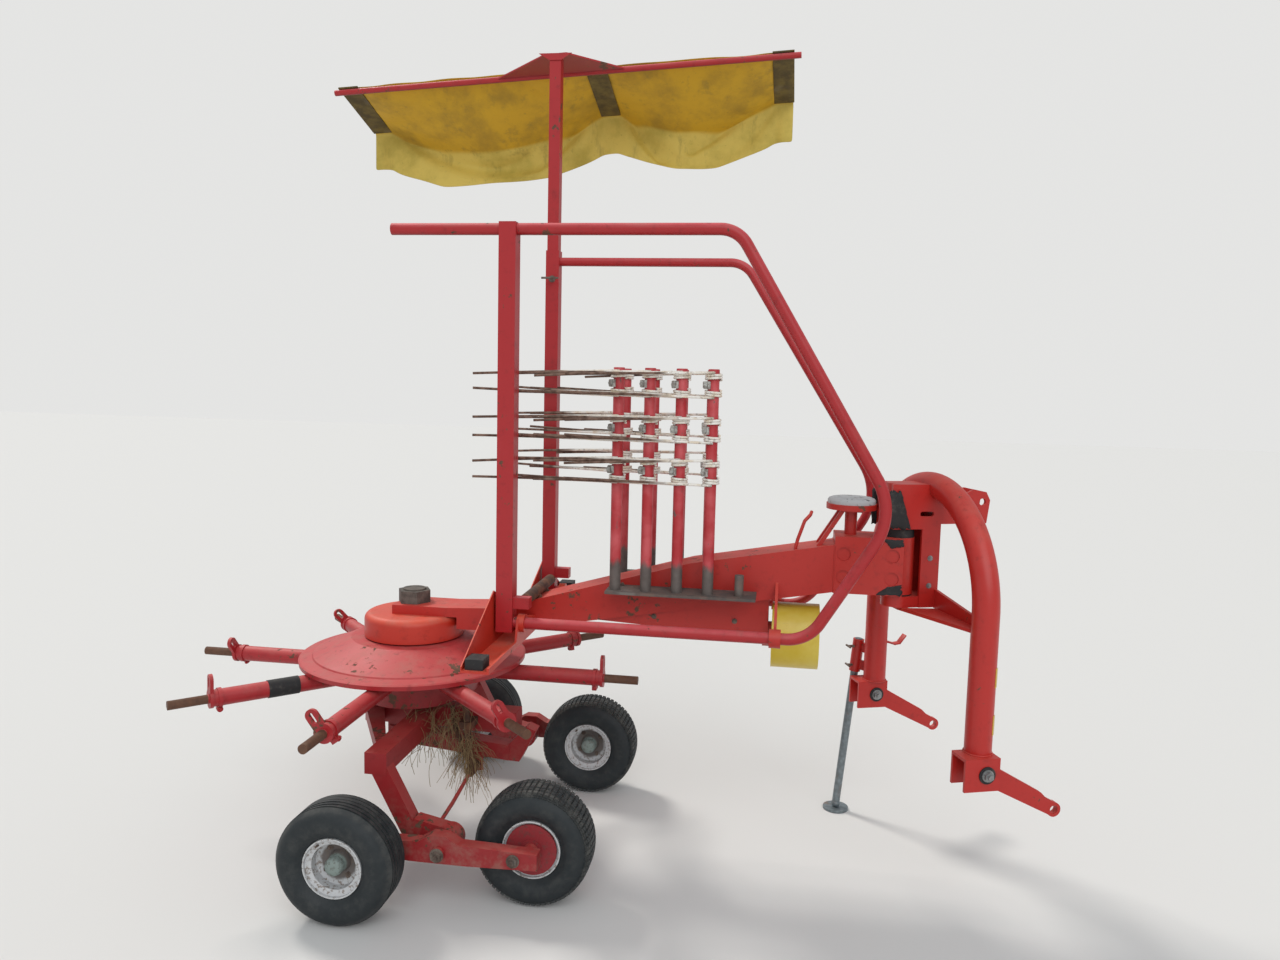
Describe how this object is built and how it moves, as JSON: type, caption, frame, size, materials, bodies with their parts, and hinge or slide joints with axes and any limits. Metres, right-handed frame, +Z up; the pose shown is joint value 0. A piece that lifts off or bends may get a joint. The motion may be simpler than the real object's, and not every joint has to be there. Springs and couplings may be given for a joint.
{
  "type": "rotary hay rake",
  "caption": "Single-rotor hay rake folded for transport: upright folding guards, stored spring-tine arms in racks, tandem wheels, swivelling three-point headstock and swath curtain.",
  "frame": {"origin": "on the ground under the middle of the machine's box", "axes": "X forward to the tractor, Y to the machine's left, Z up"},
  "size_m": [3.2826, 1.794, 3.1035],
  "materials": {
    "faded_red_paint": "red paint faded to pink on its upper faces, with rust at edges and welds",
    "orange_red_paint": "orange-red paint, fresher than the frame's",
    "rotor_paint": "faded red paint worn to rust and bare metal, with dried hay dust",
    "tine_arm_paint": "red tubes with worn ends, whitish coils and rusty spring wire",
    "rusty_steel": "dark brown rust",
    "worn_steel": "bare shaft steel",
    "galvanised_steel": "dull galvanised tube with rust bloom",
    "grey_plate": "worn grey-white board with dark speckles",
    "black_rubber": "black rubber block, matt and dusty",
    "dark_steel": "dark worn steel",
    "yellow_plastic": "yellow moulded plastic, a little dusty",
    "yellow_canvas": "sun-bleached coated yellow tarpaulin",
    "tyre_rubber": "black tyre rubber with dried grey dust in its tread",
    "rim_paint": "grey-cream rims, dusty, with rust at their edges"
  },
  "bodies": {
    "chassis": {"main_beam": "faded_red_paint", "beam_head": "faded_red_paint", "gear_drum": "orange_red_paint", "drum_cap": "rusty_steel", "drive_panel": "faded_red_paint", "pto_shaft": "worn_steel", "pto_cup": "yellow_plastic", "rest_disc": "faded_red_paint", "rest_plate": "grey_plate", "rack_right": "rusty_steel", "rack_left": "rusty_steel", "stored_arm_right_1": "tine_arm_paint", "stored_arm_right_2": "tine_arm_paint", "stored_arm_right_3": "tine_arm_paint", "stored_arm_right_4": "tine_arm_paint", "stored_arm_left_1": "tine_arm_paint", "stored_arm_left_2": "tine_arm_paint", "stored_arm_left_3": "tine_arm_paint", "stored_arm_left_4": "tine_arm_paint", "cross_pipe": "rusty_steel", "guard_bracket_right": "orange_red_paint", "wing_pad_right": "black_rubber", "guard_bracket_left": "orange_red_paint", "wing_pad_left": "black_rubber", "rotor_column": "rusty_steel", "chassis_frame": "faded_red_paint", "leg_right": "faded_red_paint", "leg_left": "faded_red_paint", "height_spindle": "rusty_steel", "rocker_right": "faded_red_paint", "rocker_left": "faded_red_paint"},
    "rotor": {"rotor_pan": "rotor_paint", "rotor_arms": "rotor_paint"},
    "guard_right": {"guard_right": "faded_red_paint"},
    "guard_left": {"guard_left": "faded_red_paint"},
    "curtain": {"curtain_post": "faded_red_paint", "curtain_bar": "faded_red_paint", "curtain_stiffeners": "dark_steel", "curtain_sheet": "yellow_canvas"},
    "headstock": {"headstock_column": "faded_red_paint", "headstock_hoop": "faded_red_paint", "link_clevises": "faded_red_paint", "link_tongues": "faded_red_paint", "stand_guide": "faded_red_paint"},
    "stand": {"stand_leg": "galvanised_steel"},
    "wheel_rear_right": {"tyre_rear_right": "tyre_rubber", "rim_rear_right": "rim_paint"},
    "wheel_front_right": {"tyre_front_right": "tyre_rubber", "rim_front_right": "rim_paint"},
    "wheel_rear_left": {"tyre_rear_left": "tyre_rubber", "rim_rear_left": "rim_paint"},
    "wheel_front_left": {"tyre_front_left": "tyre_rubber", "rim_front_left": "rim_paint"}
  },
  "joints": [
    {"name": "rotor_spin", "type": "hinge", "parent": "chassis", "child": "rotor", "pos_m": [-0.74428, 0, 0.646], "axis": [0, 0, 1], "continuous": true},
    {"name": "wheel_rear_right_spin", "type": "hinge", "parent": "chassis", "child": "wheel_rear_right", "pos_m": [-0.71428, -0.7135, 0.203], "axis": [0, 1, 0], "continuous": true},
    {"name": "wheel_front_right_spin", "type": "hinge", "parent": "chassis", "child": "wheel_front_right", "pos_m": [-0.12028, -0.4655, 0.203], "axis": [0, 1, 0], "continuous": true},
    {"name": "wheel_rear_left_spin", "type": "hinge", "parent": "chassis", "child": "wheel_rear_left", "pos_m": [-0.71428, 0.7135, 0.203], "axis": [0, 1, 0], "continuous": true},
    {"name": "wheel_front_left_spin", "type": "hinge", "parent": "chassis", "child": "wheel_front_left", "pos_m": [-0.12028, 0.4655, 0.203], "axis": [0, 1, 0], "continuous": true},
    {"name": "headstock_swivel", "type": "hinge", "parent": "chassis", "child": "headstock", "pos_m": [1.09572, 0, 1.15], "axis": [0, 0, 1], "range_deg": [-42.3, 1.7]},
    {"name": "stand_slide", "type": "slide", "parent": "headstock", "child": "stand", "axis": [0.091, 0.0124, 0.9958], "range_m": [0, 0.28]},
    {"name": "guard_right_fold", "type": "hinge", "parent": "chassis", "child": "guard_right", "pos_m": [-0.28828, -0.28, 0.918], "axis": [1, 0, 0], "range_deg": [0, 90]},
    {"name": "guard_left_fold", "type": "hinge", "parent": "chassis", "child": "guard_left", "pos_m": [-0.26928, 0.28, 0.918], "axis": [1, 0, 0], "range_deg": [-90, 0]},
    {"name": "curtain_slide", "type": "slide", "parent": "guard_left", "child": "curtain", "axis": [0, 0, -1], "range_m": [0, 0.5]}
  ]
}
